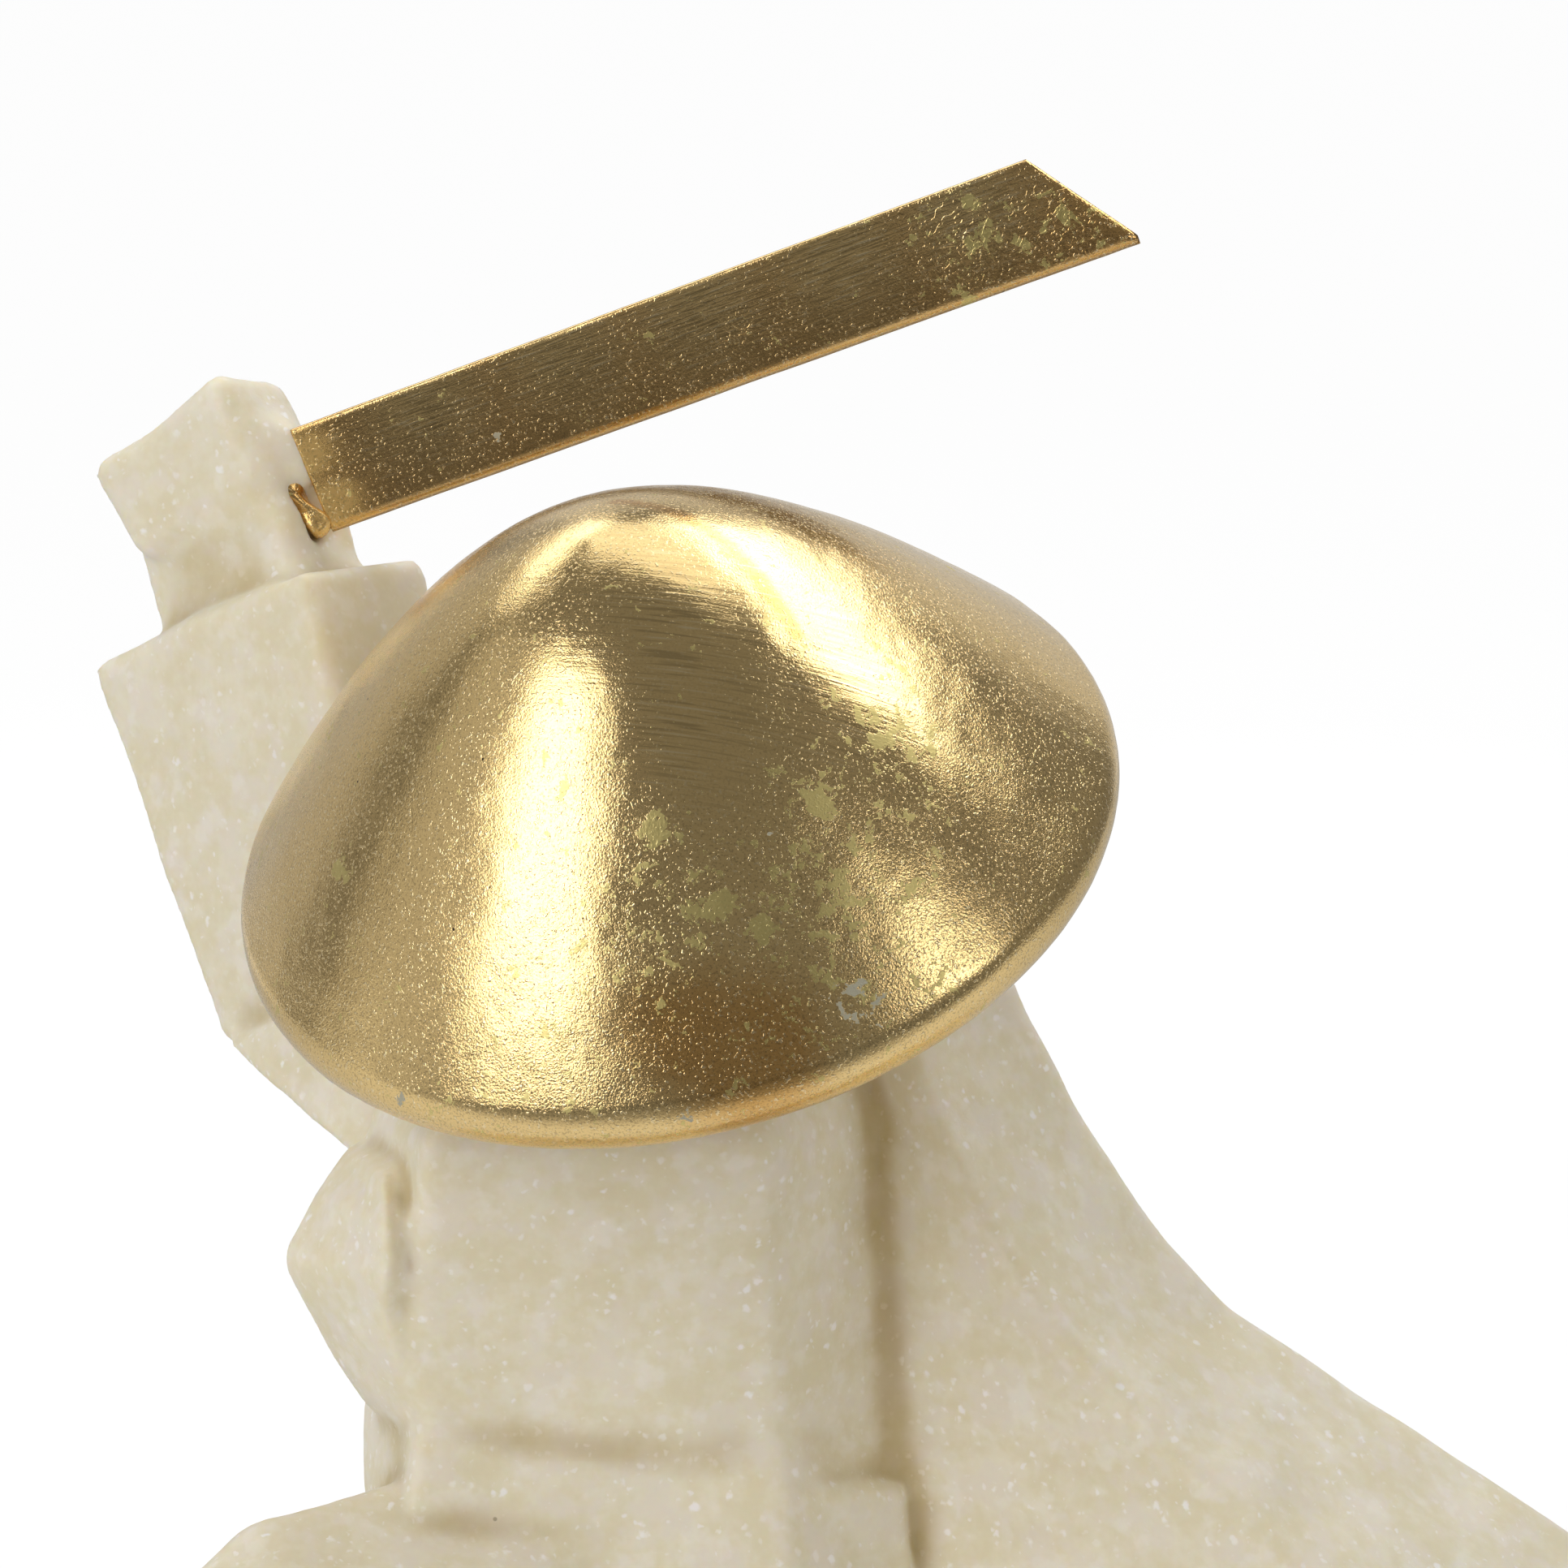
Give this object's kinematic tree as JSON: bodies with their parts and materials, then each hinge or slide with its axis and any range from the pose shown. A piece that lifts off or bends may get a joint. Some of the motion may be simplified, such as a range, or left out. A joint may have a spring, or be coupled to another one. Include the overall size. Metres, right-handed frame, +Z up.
{
  "type": "samurai statuette",
  "caption": "Faceted cast stone figure in a deep lunge on a low base, under a broad gilt hat, with a raised arm that holds a flat gilt blade.",
  "frame": {"origin": "centre of the base's underside", "axes": "+X along the base to the viewer's right, -Y towards the viewer, +Z up"},
  "size_m": [0.352, 0.1784, 0.3105],
  "materials": {
    "cast_stone": "honed, translucent cream with pale crystals",
    "gilt_hat": "crinkled gold-coloured metal leaf, worn at the rim",
    "gilt_blade": "gold-coloured metal leaf with fine scratches"
  },
  "bodies": {
    "root": {"stone_figure": "cast_stone", "gilt_hat": "gilt_hat", "gilt_blade": "gilt_blade"}
  },
  "joints": []
}
